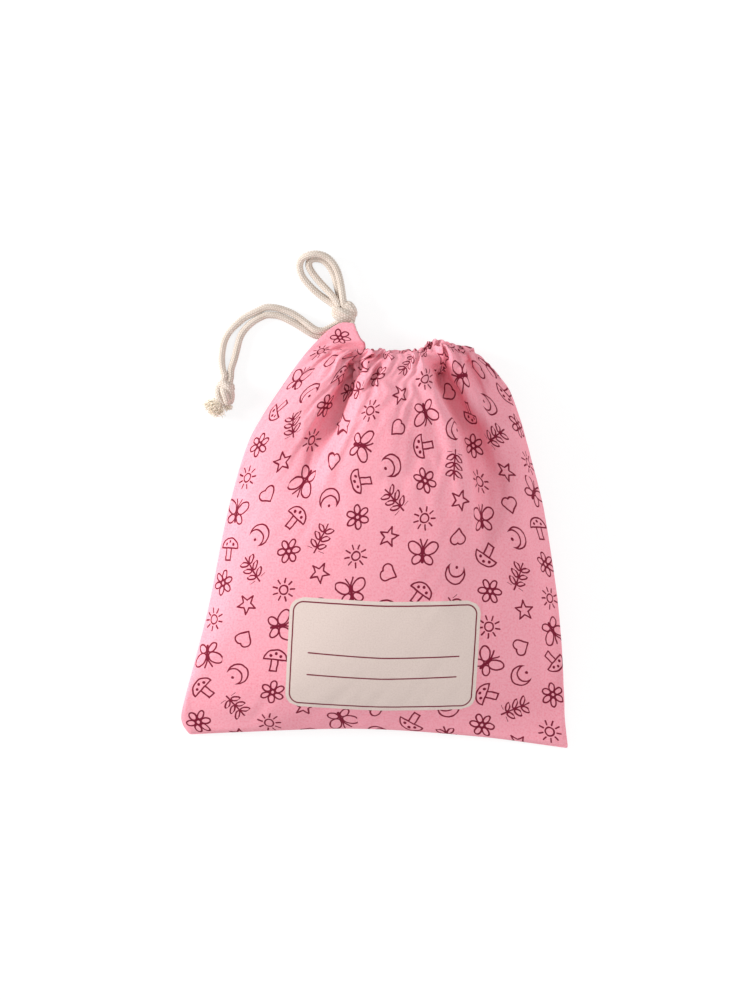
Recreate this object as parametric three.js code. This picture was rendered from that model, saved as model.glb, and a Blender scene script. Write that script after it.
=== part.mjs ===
// A child's cotton drawstring bag, lying on its back with its mouth drawn shut.
// Millimetres. +X is to the bag's right, +Y runs from the bottom seam to the mouth and +Z points up.
// Two cloth panels are sewn along three sides. A hem folded inside each mouth edge holds one cord,
// and both ends of the cord leave by an outlet at the top of the left seam.
import * as THREE from "three";

// Cloth, cord and running gaps
const clothThickness = 0.6;
const labelThickness = 0.4;
const labelGap = 0.5;
const seamThickness = 1.0;
const seamAllowance = 8;
const cordDiameter = 4.5;
const contactGap = 0.3;
const cordPlay = 0.5;

// Heights above the surface that the bag lies on
const bulgeHeight = 55;
const rimHeight = 35;
const bottomSeamHeight = 2.4;
const sideSeamHeight = 15;
const outletSeamHeight = 9.5;
const rightSeamEndHeight = 12.5;
const mouthGap = 11;

// Mouth hems
const hemDepth = 20;
const hemLeftX = 12;
const hemRightX = 46;
const hemCordInset = 9;

// Cord outlet, a sleeve of cloth drawn to a point round both cord ends
const outletTipCentre = [-17.9, 136.2];
const outletTipWidth = 11.4;
const outletBaseThickness = 13;
const pullSlant = 17;
const leadLength = 24;

// Knots and frayed ends
const slipKnotWidth = 15;
const slipKnotHeight = 14;
const loopSlant = 23.5;
const endKnotWidth = 12.5;
const endKnotLength = 16;
const endKnotHeight = 11.6;
const endKnotSlant = -13;
const endKnotCentre = [-97.6, 91.7];
const frayLength = 9;
const frayWidth = 10;
const shortFrayLength = 7;
const shortFrayWidth = 5.6;

// Name label on the front panel
const labelWidth = 123;
const labelHeight = 71;
const labelCentre = [5, -77.5];
const labelTurn = -1.2;
const labelCornerRadius = 4;

// Outline of the bag seen from above: [y, x] along its sides, [x, y] along the bottom and the mouth
const leftOutline = [
  [-131.5, -121], [-122, -126], [-108, -124], [-49, -108.5], [14, -95.5], [55, -84],
  [76, -73.5], [98, -59], [115.5, -46.5],
];
const rightOutline = [
  [-139, 124.5], [-101, 123], [-49, 118], [14, 109], [55, 99], [86.5, 90],
  [101, 81], [114, 68.5], [122.5, 58.5],
];
const bottomOutline = [[-121, -131.5], [-88, -130], [-10, -127.5], [60, -132], [124.5, -139]];
const mouthOutline = [
  [-46.5, 115.5], [-24, 117], [0, 117.6], [19.5, 117], [39, 124], [49, 123.4], [58.5, 122.5],
];

// Folds of the front panel that run down from the drawn mouth: a path of [x, y], with the depth
// and the half width of the fold at each point of it
const folds = [
  { path: [[-12, 119], [-18, 80], [-26, 64]], depth: [8, 13, 0], width: [5, 8, 12] },
  { path: [[42, 116], [47, 92], [61, 60], [68, 8]], depth: [6, 13, 9, 0], width: [5, 7, 10, 14] },
  { path: [[4, 120], [4, 88]], depth: [7, 0], width: [3, 5] },
  { path: [[66, 108], [84, 70]], depth: [5, 0], width: [4, 7] },
  { path: [[-44, 124], [-26, 120], [-22, 100]], depth: [17, 17, 0], width: [17, 15, 12] },
];

const cordRadius = cordDiameter / 2;
const cordSpacing = cordDiameter + contactGap;
const halfCloth = clothThickness / 2;
const backHeight = halfCloth;
const backCordHeight = clothThickness + cordPlay + cordRadius;
const backHemHeight = backCordHeight + cordRadius + cordPlay + halfCloth;
const frontHemHeight = backHemHeight + mouthGap;
const frontCordHeight = frontHemHeight + halfCloth + cordPlay + cordRadius;
const seamToPanel = seamThickness / 2 + contactGap + halfCloth;
const outletUnderside = cordDiameter + 3 * contactGap;
const outletAxisHeight = outletUnderside + clothThickness + cordPlay + cordRadius;

const clothColour = 0xeea6b2;
const cordColour = 0xe0d0c1;
const tuftColour = 0xe3cbba;
const labelColour = 0xdccac2;

const clamp = THREE.MathUtils.clamp;
const lerp = THREE.MathUtils.lerp;
const smooth = THREE.MathUtils.smoothstep;

// A smooth function through [key, value] points, level beyond both ends.
function through(points) {
  const slopes = points.map((point, i) => {
    const before = points[Math.max(i - 1, 0)];
    const after = points[Math.min(i + 1, points.length - 1)];
    return (after[1] - before[1]) / (after[0] - before[0]);
  });
  return (key) => {
    const following = points.findIndex((point) => point[0] > key);
    const i = following < 0 ? points.length - 2 : Math.max(following - 1, 0);
    const span = points[i + 1][0] - points[i][0];
    const t = clamp((key - points[i][0]) / span, 0, 1);
    const rise = t * t * (3 - 2 * t);
    const leaving = t * (1 - t) * (1 - t) * span * slopes[i];
    const arriving = t * t * (1 - t) * span * slopes[i + 1];
    return lerp(points[i][1], points[i + 1][1], rise) + leaving - arriving;
  };
}

const outletBaseY = leftOutline.at(-1)[0];
const leftX = through(leftOutline);
const rightX = through(rightOutline);
const bottomY = through(bottomOutline);
const mouthY = through(mouthOutline);
const leftSeamHeight = through([
  [leftOutline[0][0], bottomSeamHeight], [-60, sideSeamHeight * 0.7], [10, sideSeamHeight],
  [80, sideSeamHeight * 0.9], [leftOutline.at(-1)[0], outletSeamHeight],
]);
const rightSeamHeight = through([
  [rightOutline[0][0], bottomSeamHeight], [-60, sideSeamHeight * 0.7], [10, sideSeamHeight],
  [90, sideSeamHeight * 0.95], [rightOutline.at(-1)[0], rightSeamEndHeight],
]);
const crownHeight = through([
  [0, bottomSeamHeight + seamToPanel], [0.06, bulgeHeight * 0.3], [0.15, bulgeHeight * 0.58],
  [0.3, bulgeHeight * 0.85], [0.5, bulgeHeight], [0.7, lerp(rimHeight, bulgeHeight, 0.8)],
  [0.86, lerp(rimHeight, bulgeHeight, 0.35)], [1, rimHeight],
]);

// How far across and up the bag a point lies, both from 0 to 1.
function placeOnBag(x, y) {
  const across = clamp((x - leftX(y)) / (rightX(y) - leftX(y)), 0, 1);
  const up = clamp((y - bottomY(x)) / (mouthY(x) - bottomY(x)), 0, 1);
  return { across, up };
}

function seamHeight(x, y) {
  return lerp(leftSeamHeight(y), rightSeamHeight(y), placeOnBag(x, y).across);
}

// The depth of one fold at a point, from the nearest stretch of the fold's path.
function foldDepth({ path, depth, width }, x, y) {
  let deepest = 0;
  for (let i = 0; i + 1 < path.length; i++) {
    const along = new THREE.Vector2(path[i + 1][0] - path[i][0], path[i + 1][1] - path[i][1]);
    const offset = new THREE.Vector2(x - path[i][0], y - path[i][1]);
    const t = clamp(offset.dot(along) / along.lengthSq(), 0, 1);
    const distance = offset.sub(along.multiplyScalar(t)).length();
    const reach = distance / lerp(width[i], width[i + 1], t);
    deepest = Math.max(deepest, lerp(depth[i], depth[i + 1], t) * Math.exp(-reach * reach));
  }
  return deepest;
}

// Height of the middle of the front panel's cloth.
function frontHeight(x, y) {
  const { across, up } = placeOnBag(x, y);
  const edge = seamHeight(x, y) + seamToPanel;
  const round = Math.pow(1 - Math.pow(Math.abs(2 * across - 1), 2.2), 0.6);
  const folded = folds.reduce((sum, fold) => sum + foldDepth(fold, x, y), 0);
  const crown = Math.max(crownHeight(up) - edge - folded, 0);
  return edge + crown * round;
}

// Height of the middle of the back panel's cloth, flat where the bag rests on it.
function backPanelHeight(x, y) {
  const { across, up } = placeOnBag(x, y);
  const edge = seamHeight(x, y) - seamToPanel;
  const inward = Math.min(across, 1 - across);
  const towardsOutlet = smooth(y, outletBaseY - hemDepth, outletBaseY) * smooth(-x, -hemLeftX, hemLeftX);
  const floor = lerp(backHeight, outletUnderside, towardsOutlet);
  return lerp(edge, floor, smooth(inward, 0, 0.16) * smooth(up, 0, 0.05));
}

// A point of the bag's plan between its four edges, s across and t up, both from 0 to 1.
const bottomCurve = new THREE.SplineCurve(bottomOutline.map(([x, y]) => new THREE.Vector2(x, y)));
const mouthCurve = new THREE.SplineCurve(mouthOutline.map(([x, y]) => new THREE.Vector2(x, y)));

function sidePoint(outline, edgeX, t) {
  const y = lerp(outline[0][0], outline.at(-1)[0], t);
  return new THREE.Vector2(edgeX(y), y);
}

function planPoint(s, t) {
  const left = sidePoint(leftOutline, leftX, t);
  const right = sidePoint(rightOutline, rightX, t);
  const bottom = bottomCurve.getPoint(s);
  const top = mouthCurve.getPoint(s);
  const sides = left.lerp(right, s);
  const ends = bottom.lerp(top, t);
  const bottomCorners = bottomCurve.getPoint(0).lerp(bottomCurve.getPoint(1), s);
  const topCorners = mouthCurve.getPoint(0).lerp(mouthCurve.getPoint(1), s);
  return sides.add(ends).sub(bottomCorners.lerp(topCorners, t));
}

// Rows of points from a function of (s, t), closer together near both ends of a row.
function surfaceRows(across, up, pointAt) {
  return Array.from({ length: up + 1 }, (_, j) =>
    Array.from({ length: across + 1 }, (_, i) => {
      const t = i / across;
      const s = lerp(t, (1 - Math.cos(Math.PI * t)) / 2, 0.55);
      return pointAt(s, j / up);
    }),
  );
}

function geometryFrom(points, triangles) {
  const geometry = new THREE.BufferGeometry().setFromPoints(points);
  geometry.setIndex(triangles);
  geometry.computeVertexNormals();
  return geometry;
}

// A sheet of cloth of even thickness round the middle surface given by rows of points.
// A closed row joins its last point to its first, as round a sleeve.
function clothSheet(rows, thickness, closedRows = false) {
  const height = rows.length;
  const width = rows[0].length;
  const at = (j, i) => {
    const column = closedRows ? (i + width) % width : clamp(i, 0, width - 1);
    return rows[clamp(j, 0, height - 1)][column];
  };
  const normalAt = (j, i) => {
    const alongRow = at(j, i + 1).clone().sub(at(j, i - 1));
    const acrossRows = at(j + 1, i).clone().sub(at(j - 1, i));
    return alongRow.cross(acrossRows).normalize();
  };
  const points = [];
  for (const side of [0.5, -0.5]) {
    for (let j = 0; j < height; j++) {
      for (let i = 0; i < width; i++) {
        points.push(at(j, i).clone().addScaledVector(normalAt(j, i), side * thickness));
      }
    }
  }
  const outer = (j, i) => j * width + (i % width);
  const inner = (j, i) => height * width + outer(j, i);
  const triangles = [];
  const quad = (a, b, c, d) => triangles.push(a, b, c, a, c, d);
  const columns = closedRows ? width : width - 1;
  for (let j = 0; j < height - 1; j++) {
    for (let i = 0; i < columns; i++) {
      quad(outer(j, i), outer(j, i + 1), outer(j + 1, i + 1), outer(j + 1, i));
      quad(inner(j, i), inner(j + 1, i), inner(j + 1, i + 1), inner(j, i + 1));
    }
  }
  for (let i = 0; i < columns; i++) {
    quad(outer(0, i + 1), outer(0, i), inner(0, i), inner(0, i + 1));
    quad(outer(height - 1, i), outer(height - 1, i + 1), inner(height - 1, i + 1), inner(height - 1, i));
  }
  for (let j = 0; j < height - 1 && !closedRows; j++) {
    quad(outer(j, 0), outer(j + 1, 0), inner(j + 1, 0), inner(j, 0));
    quad(outer(j + 1, width - 1), outer(j, width - 1), inner(j, width - 1), inner(j + 1, width - 1));
  }
  return geometryFrom(points, triangles);
}

// Round cord through chosen points.
function cordAlong(points) {
  const curve = new THREE.CatmullRomCurve3(points.map((point) => new THREE.Vector3(...point)));
  const sides = 8;
  const section = Array.from({ length: sides }, (_, i) => {
    const angle = (2 * Math.PI * i) / sides;
    return new THREE.Vector2(cordRadius * Math.cos(angle), cordRadius * Math.sin(angle));
  });
  const steps = Math.max(4, Math.ceil(curve.getLength() / (2 * cordDiameter)) * 2);
  return new THREE.ExtrudeGeometry(new THREE.Shape(section), {
    steps,
    bevelEnabled: false,
    extrudePath: curve,
  });
}

const meshes = {};

function addPiece(name, geometry, colour, roughness = 0.9) {
  const material = new THREE.MeshStandardMaterial({ color: colour, roughness, metalness: 0 });
  const mesh = new THREE.Mesh(geometry, material);
  mesh.name = name;
  meshes[name] = mesh;
  return mesh;
}

// Panels
const onSurface = (heightAt) => (s, t) => {
  const { x, y } = planPoint(s, t);
  return new THREE.Vector3(x, y, heightAt(x, y));
};
const backRows = surfaceRows(24, 18, onSurface(backPanelHeight));
const frontRows = surfaceRows(40, 26, onSurface(frontHeight));
addPiece("back_panel", clothSheet(backRows, clothThickness), clothColour);
addPiece("front_panel", clothSheet(frontRows, clothThickness), clothColour);

// Seam allowances, turned inside the bag between the two panels
function sideSeam(edgeX, outline, heightAt, inward) {
  const rows = Array.from({ length: 25 }, (_, j) => {
    const { x, y } = sidePoint(outline, edgeX, j / 24);
    const inner = x + inward * seamAllowance;
    const row = [new THREE.Vector3(x, y, heightAt(y)), new THREE.Vector3(inner, y, heightAt(y))];
    return inward > 0 ? row : row.reverse();
  });
  return clothSheet(rows, seamThickness);
}
addPiece("left_side_seam", sideSeam(leftX, leftOutline, leftSeamHeight, 1), clothColour);
addPiece("right_side_seam", sideSeam(rightX, rightOutline, rightSeamHeight, -1), clothColour);

function bottomSeam() {
  const clearOfSides = seamAllowance + contactGap + seamThickness;
  const left = bottomOutline[0][0] + clearOfSides;
  const right = bottomOutline.at(-1)[0] - clearOfSides;
  const rows = Array.from({ length: 4 }, (_, j) =>
    Array.from({ length: 25 }, (_, i) => {
      const x = lerp(left, right, i / 24);
      const y = bottomY(x) + (seamAllowance * j) / 3;
      const onBack = backPanelHeight(x, y) + seamToPanel + contactGap / 2;
      return new THREE.Vector3(x, y, Math.max(bottomSeamHeight, onBack));
    }),
  );
  return clothSheet(rows, seamThickness);
}
addPiece("bottom_seam", bottomSeam(), clothColour);

// Hems: a channel under each mouth edge, open at both ends, that the cord runs through
function hem(panelHeight, channelHeight, side) {
  const profile = [
    [0, 0], [0.05, 0.5], [0.12, 1], [0.35, 1], [0.6, 1], [0.85, 1], [0.94, 0.5], [1, 0],
  ];
  const rows = profile.map(([down, drop]) =>
    Array.from({ length: 13 }, (_, i) => {
      const x = lerp(hemLeftX, hemRightX, i / 12);
      const y = mouthY(x) - clothThickness - hemDepth * down;
      const onPanel = panelHeight(x, y) - side * (clothThickness + contactGap * 2);
      return new THREE.Vector3(x, y, lerp(onPanel, channelHeight, drop));
    }),
  );
  return clothSheet(rows.reverse(), clothThickness);
}
addPiece("back_hem", hem(backPanelHeight, backHemHeight, -1), clothColour);
addPiece("front_hem", hem(frontHeight, frontHemHeight, 1), clothColour);

// Cord outlet: a sleeve that narrows from the left end of the mouth to its tip
const outletBaseLeft = new THREE.Vector3(...leftOutline.at(-1).toReversed(), 0);
const outletBaseRight = new THREE.Vector3(mouthOutline[2][0], mouthOutline[2][1], 0);
const outletTip = new THREE.Vector3(...outletTipCentre, outletAxisHeight);

// Direction in plan, turned to the left of +Y by some degrees.
function planDirection(degrees) {
  const angle = THREE.MathUtils.degToRad(degrees);
  return new THREE.Vector3(-Math.sin(angle), Math.cos(angle), 0);
}
const toRightOf = (direction) => new THREE.Vector3(direction.y, -direction.x, 0);
const pullDirection = planDirection(pullSlant);
const acrossPull = toRightOf(pullDirection);

function outletSleeve() {
  const sections = 9;
  const around = 24;
  const tipThickness = cordDiameter + 2 * (cordPlay + clothThickness);
  const baseLift = new THREE.Vector3(0, clothThickness + 2 * contactGap, 0);
  const tipHalf = acrossPull.clone().multiplyScalar(outletTipWidth / 2 - halfCloth);
  const rows = Array.from({ length: sections }, (_, j) => {
    const t = j / (sections - 1);
    const narrowed = Math.sin((Math.PI / 2) * t);
    const left = outletBaseLeft.clone().add(baseLift).lerp(outletTip.clone().sub(tipHalf), t);
    const right = outletBaseRight.clone().add(baseLift).lerp(outletTip.clone().add(tipHalf), t);
    const thickness = lerp(outletBaseThickness, tipThickness, narrowed) - clothThickness;
    const centre = left.clone().add(right).divideScalar(2);
    centre.setZ(lerp(outletUnderside + outletBaseThickness / 2, outletAxisHeight, narrowed));
    const half = right.clone().sub(left).divideScalar(2).setZ(0);
    return Array.from({ length: around }, (_, i) => {
      const angle = (-2 * Math.PI * i) / around;
      const squared = (value) => Math.sign(value) * Math.sqrt(Math.abs(value));
      const point = centre.clone().addScaledVector(half, squared(Math.cos(angle)));
      return point.setZ(centre.z + (squared(Math.sin(angle)) * thickness) / 2);
    });
  });
  return clothSheet(rows, clothThickness, true);
}
addPiece("cord_outlet", outletSleeve(), clothColour);

// A knot is a lathed lump with a waist between its two turns, lying on the surface. Its plan is
// a circle or an oval, so that what turns about its centre stays clear of it.
const knotWaist = 0.09;
function knot({ centre, axis, width, length }) {
  const steps = 16;
  const profile = Array.from({ length: steps + 1 }, (_, i) => {
    const angle = (Math.PI * i) / steps - Math.PI / 2;
    const radius = i % steps ? Math.cos(angle) * (1 - knotWaist * Math.cos(angle) ** 24) : 0;
    return new THREE.Vector2((radius * width) / 2, (Math.sin(angle) * length) / 2);
  });
  const geometry = new THREE.LatheGeometry(profile, 20);
  geometry.scale(1, 1, (centre.z * 2) / width);
  geometry.rotateZ(Math.atan2(-axis.x, axis.y));
  geometry.translate(centre.x, centre.y, centre.z);
  return geometry;
}

// Where the end of a cord meets a knot, at an offset across the knot's axis and a height.
function knotFace({ centre, axis, width, length }, across, height) {
  const offset = Math.hypot(across, ((height - centre.z) * width) / (centre.z * 2));
  const share = Math.max(offset - cordRadius, 0) / (width / 2);
  const along = (length / 2) * Math.sqrt(Math.max(1 - share * share, 0));
  const point = centre.clone().addScaledVector(toRightOf(axis), across);
  return point.addScaledVector(axis, along + contactGap).setZ(height);
}

const slipKnot = {
  centre: outletTip.clone().addScaledVector(pullDirection, slipKnotWidth / 2 + contactGap * 3),
  axis: planDirection(loopSlant),
  width: slipKnotWidth,
  length: slipKnotWidth,
};
slipKnot.centre.setZ(slipKnotHeight / 2);
const slipKnotBelow = { ...slipKnot, axis: slipKnot.axis.clone().negate() };
addPiece("slip_knot", knot(slipKnot), cordColour);

// Cord: two straight ends in the outlet and one run in each hem
const leadTop = outletTip.clone().addScaledVector(pullDirection, contactGap * 2);
const leadPoint = (side, down, height = outletAxisHeight) =>
  leadTop
    .clone()
    .addScaledVector(acrossPull, (side * cordSpacing) / 2)
    .addScaledVector(pullDirection, -down)
    .setZ(height)
    .toArray();

for (const [name, side] of [["cord_lead_1", -1], ["cord_lead_2", 1]]) {
  const points = [0, 0.25, 0.5, 0.75, 1].map((t) => leadPoint(side, t * leadLength));
  addPiece(name, cordAlong(points), cordColour);
}

const runStart = leadLength + contactGap;
const hemCordY = (x) => mouthY(x) - hemCordInset;
const meetingHeight = (frontCordHeight + backCordHeight) / 2;
const meetingX = hemRightX + 10;
function hemRun(side, height, gapSide, approach) {
  const end = meetingHeight + (gapSide * contactGap) / 2;
  const beforeEnd = (share) => end + gapSide * cordDiameter * share;
  const hemMiddleX = (hemLeftX + hemRightX) / 2;
  return cordAlong([
    leadPoint(side, runStart),
    leadPoint(side, runStart + cordDiameter / 2),
    leadPoint(side, runStart + cordDiameter),
    ...approach.map(([x, y, share]) => [x, y, lerp(outletAxisHeight, height, share)]),
    [hemLeftX - 3, hemCordY(hemLeftX), height],
    [hemLeftX + 5, hemCordY(hemLeftX + 5), height],
    [hemMiddleX, hemCordY(hemMiddleX), height],
    [hemRightX - 4, hemCordY(hemRightX - 4), height],
    [hemRightX + 3, hemCordY(hemRightX + 3), lerp(height, end, 0.08)],
    [meetingX - 1.5, hemCordY(meetingX), lerp(height, end, 0.42)],
    [meetingX, hemCordY(meetingX), beforeEnd(0.5)],
    [meetingX, hemCordY(meetingX), end],
  ]);
}
const frontApproach = [[-1.5, 107.2, 0.45], [4, 107.4, 0.85]];
const backApproach = [[-10.5, 103.6, 0.25], [-5, 101, 0.55], [2, 102.2, 0.85]];
addPiece("cord_front_run", hemRun(1, frontCordHeight, 1, frontApproach), cordColour);
addPiece("cord_back_run", hemRun(-1, backCordHeight, -1, backApproach), cordColour);

// The doubled loop of the slip knot. Its inner strand lies on the surface and the outer strand
// crosses on top of it.
// The first two points of a cord that leaves a knot straight.
function leaving(lump, across, height) {
  const face = knotFace(lump, across, height);
  return [face.toArray(), face.clone().addScaledVector(lump.axis, cordRadius).toArray()];
}
const arriving = (lump, across, height) => leaving(lump, across, height).reverse();

addPiece("loop_outer", cordAlong([
  ...leaving(slipKnot, -4.6, 4.6), [-32.4, 152.6, 2.8], [-38.6, 157.3, 2.3],
  [-44.4, 163.2, 2.3], [-47.8, 168.1, 2.3], [-49.2, 173.9, 2.4], [-47.4, 178.6, 4.2],
  [-43, 181, 6.7], [-37.6, 181.6, 7.1], [-32.2, 180, 7.1], [-28, 176.4, 7.1],
  [-24.9, 171.4, 7.1], [-23, 165.6, 7.2], [-21.8, 159.3, 8],
  ...arriving(slipKnot, 3.6, 9.3),
]), cordColour);

addPiece("loop_inner", cordAlong([
  ...leaving(slipKnot, -1.3, 8.8), [-30.6, 157.4, 5], [-35, 162.4, 3], [-38.6, 166.6, 2.3],
  [-41.5, 170.6, 2.3], [-43.2, 174.7, 2.3], [-41.8, 178, 2.3], [-37.6, 178.8, 2.3],
  [-33.4, 177.4, 2.3], [-29.9, 173.9, 2.3], [-27, 168.7, 2.3], [-25.2, 162.6, 2.6],
  [-23.8, 156.7, 3.4], ...arriving(slipKnot, 1.2, 4),
]), cordColour);

// The two tails, which run under the outlet's left edge and lie on the surface to the end knot
const endKnot = {
  centre: new THREE.Vector3(...endKnotCentre, endKnotHeight / 2),
  axis: planDirection(endKnotSlant),
  width: endKnotWidth,
  length: endKnotLength,
};
const endKnotBelow = { ...endKnot, axis: endKnot.axis.clone().negate() };

addPiece("tail_upper", cordAlong([
  ...leaving(slipKnotBelow, 5.6, 3.4), [-26.8, 134, 2.7], [-31.8, 130.8, 2.4], [-38.6, 131.8, 2.6],
  [-43.8, 135.6, 2.3], [-49.3, 139.9, 2.3], [-54.7, 143.3, 2.3], [-61.2, 145.9, 2.3],
  [-66.4, 147, 2.3], [-71.6, 146.9, 2.3], [-77.2, 144.4, 2.3], [-83.8, 141.1, 2.3],
  [-88.7, 137.4, 2.3], [-94.6, 131.6, 2.3], [-97.9, 125.8, 2.3], [-99.6, 119, 2.3],
  [-100, 112, 2.3], [-99.3, 106.4, 2.8], ...arriving(endKnot, -2.8, 4.4),
]), cordColour);

addPiece("tail_lower", cordAlong([
  ...leaving(slipKnotBelow, -0.6, 2.6), [-19.6, 131.4, 2.3], [-25, 126.6, 2.3], [-32, 124.9, 2.3],
  [-38.6, 126.2, 2.3], [-43.4, 129, 2.3], [-48.8, 133, 2.3], [-54.6, 137, 2.3],
  [-61.6, 141, 2.3], [-66.4, 142, 2.3], [-71.3, 141.9, 2.3], [-77.6, 138.9, 2.3],
  [-82.2, 135.4, 2.3], [-85.9, 131.2, 2.3], [-88.3, 126.6, 2.3], [-90, 120, 2.3],
  [-91.7, 113.4, 2.3], [-93.6, 106.6, 2.8], ...arriving(endKnot, 2.6, 4.4),
]), cordColour);

addPiece("end_knot", knot(endKnot), cordColour);

// The cut ends of the cord, opened out into tufts
function frayedEnd(across, length, width) {
  const profile = [
    [0, 0], [cordRadius * 0.8, 0], [cordRadius, length * 0.15], [width * 0.36, length * 0.5],
    [width * 0.5, length * 0.85], [width * 0.38, length], [0, length * 0.92],
  ].map(([radius, along]) => new THREE.Vector2(radius, along));
  const geometry = new THREE.LatheGeometry(profile, 14);
  const start = knotFace(endKnotBelow, across, endKnot.centre.z);
  const direction = start.clone().sub(endKnot.centre);
  geometry.rotateZ(Math.atan2(-direction.x, direction.y));
  geometry.translate(start.x, start.y, Math.max(start.z, width / 2));
  return geometry;
}
addPiece("frayed_end_1", frayedEnd(2.6, frayLength, frayWidth), tuftColour, 1);
addPiece("frayed_end_2", frayedEnd(-2.9, shortFrayLength, shortFrayWidth), tuftColour, 1);

// Name label, a patch that follows the front panel
function labelSheet() {
  const turn = THREE.MathUtils.degToRad(labelTurn);
  const lift = halfCloth + labelGap + labelThickness / 2;
  const step = 0.5;
  const normalAt = (x, y) =>
    new THREE.Vector3(
      (frontHeight(x - step, y) - frontHeight(x + step, y)) / (2 * step),
      (frontHeight(x, y - step) - frontHeight(x, y + step)) / (2 * step),
      1,
    ).normalize();
  const rows = Array.from({ length: 11 }, (_, j) => {
    const v = (-Math.cos((Math.PI * j) / 10) * labelHeight) / 2;
    const inCorner = Math.max(Math.abs(v) - labelHeight / 2 + labelCornerRadius, 0);
    const cut = labelCornerRadius - Math.sqrt(labelCornerRadius ** 2 - inCorner ** 2);
    return Array.from({ length: 17 }, (_, i) => {
      const u = lerp(-1, 1, i / 16) * (labelWidth / 2 - cut);
      const x = labelCentre[0] + u * Math.cos(turn) - v * Math.sin(turn);
      const y = labelCentre[1] + u * Math.sin(turn) + v * Math.cos(turn);
      return new THREE.Vector3(x, y, frontHeight(x, y)).addScaledVector(normalAt(x, y), lift);
    });
  });
  return clothSheet(rows, labelThickness);
}
addPiece("name_label", labelSheet(), labelColour);

const group = new THREE.Group();
group.add(...Object.values(meshes));
export default group;
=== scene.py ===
import math

import bpy
import numpy as np
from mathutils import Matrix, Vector
from mathutils.bvhtree import BVHTree


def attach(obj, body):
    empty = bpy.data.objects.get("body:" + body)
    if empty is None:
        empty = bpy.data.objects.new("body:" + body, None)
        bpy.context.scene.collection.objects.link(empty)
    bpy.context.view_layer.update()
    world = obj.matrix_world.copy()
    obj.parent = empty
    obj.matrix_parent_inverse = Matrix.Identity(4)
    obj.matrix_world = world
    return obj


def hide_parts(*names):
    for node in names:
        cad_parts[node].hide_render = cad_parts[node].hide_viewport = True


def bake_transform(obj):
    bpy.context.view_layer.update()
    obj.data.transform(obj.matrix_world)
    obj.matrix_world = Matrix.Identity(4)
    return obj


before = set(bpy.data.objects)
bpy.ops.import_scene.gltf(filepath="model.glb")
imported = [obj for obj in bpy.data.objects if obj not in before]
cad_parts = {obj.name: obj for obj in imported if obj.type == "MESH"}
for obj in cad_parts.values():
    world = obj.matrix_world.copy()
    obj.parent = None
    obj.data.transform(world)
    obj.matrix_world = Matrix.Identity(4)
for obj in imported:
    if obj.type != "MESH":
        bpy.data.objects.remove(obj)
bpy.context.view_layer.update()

# Camera: straight above the bag, with the photograph's frame of 750 x 1000
metres_per_pixel = 0.00065
photo_height = 1000
origin_row = 533
camera_height = 3.0
subject_height = 0.012
sensor_width = 36

camera_data = bpy.data.cameras.new("camera")
camera_data.sensor_width = sensor_width
camera_data.lens = sensor_width * (camera_height - subject_height) / (photo_height * metres_per_pixel)
camera = bpy.data.objects.new("camera", camera_data)
camera.location = (0, (origin_row - photo_height / 2) * metres_per_pixel, camera_height)
bpy.context.scene.collection.objects.link(camera)
bpy.context.scene.camera = camera

# Cloth panels, cut flat, with an opening in the left seam for the cord
panel_width = 0.252
panel_length = 0.3
columns = 112
rows = 90
outlet_opening = 0.02
flat_across = np.linspace(0, panel_width, columns + 1)
flat_up = np.linspace(0, panel_length, rows + 1)


def mix(a, b, t):
    return a + (b - a) * t


def smoothstep(x, low, high):
    t = np.clip((x - low) / (high - low), 0, 1)
    return t * t * (3 - 2 * t)


def smooth_line(points, count=600):
    """A dense smooth line through chosen points."""
    points = np.array(points, float)
    before = np.vstack([2 * points[0] - points[1], points[:-1]])
    after = np.vstack([points[1:], 2 * points[-1] - points[-2]])
    slope = (after - before) / 2
    position = np.linspace(0, len(points) - 1, count)
    i = np.minimum(position.astype(int), len(points) - 2)
    t = (position - i)[:, None]
    return (
        (2 * t**3 - 3 * t**2 + 1) * points[i]
        + (t**3 - 2 * t**2 + t) * slope[i]
        + (-2 * t**3 + 3 * t**2) * points[i + 1]
        + (t**3 - t**2) * slope[i + 1]
    )


def metres(points):
    return np.array(points, float) / 1000


def at_lengths(line, lengths):
    """Points of a dense line at distances along it, as shares of its whole length."""
    steps = np.linalg.norm(np.diff(line, axis=0), axis=1)
    run = np.concatenate([[0], np.cumsum(steps)])
    return np.column_stack([np.interp(lengths * run[-1], run, line[:, k]) for k in range(3)])


# Edges of the filled bag in millimetres: each side from the bottom corner to the mouth, and the bottom
left_edge = smooth_line(metres([
    (-121, -131.5, 2), (-126.2, -122.5, 4), (-124, -108, 7.5), (-108.5, -49, 11), (-95.5, 14, 13),
    (-84, 55, 13), (-73.5, 76, 12), (-59, 98, 11), (-46.5, 115.5, 10), (-32.8, 129.9, 11),
    (-22.5, 136.8, 11.5), (-13.5, 136.4, 13),
]))
right_edge = smooth_line(metres([
    (126, -140.5, 2), (123.8, -120, 5), (123, -101, 8), (118, -49, 12), (109, 14, 14), (99, 55, 14),
    (90, 86.5, 13), (81, 101, 13), (71.5, 111.5, 12.5), (65, 116, 11.5), (59, 117.8, 10), (53, 115, 8.5),
]))
bottom_edge = smooth_line(metres([
    (-121, -131.5, 2), (-88, -130, 3.5), (-10, -127.5, 5), (60, -132, 4), (126, -140.5, 2),
]))

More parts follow.
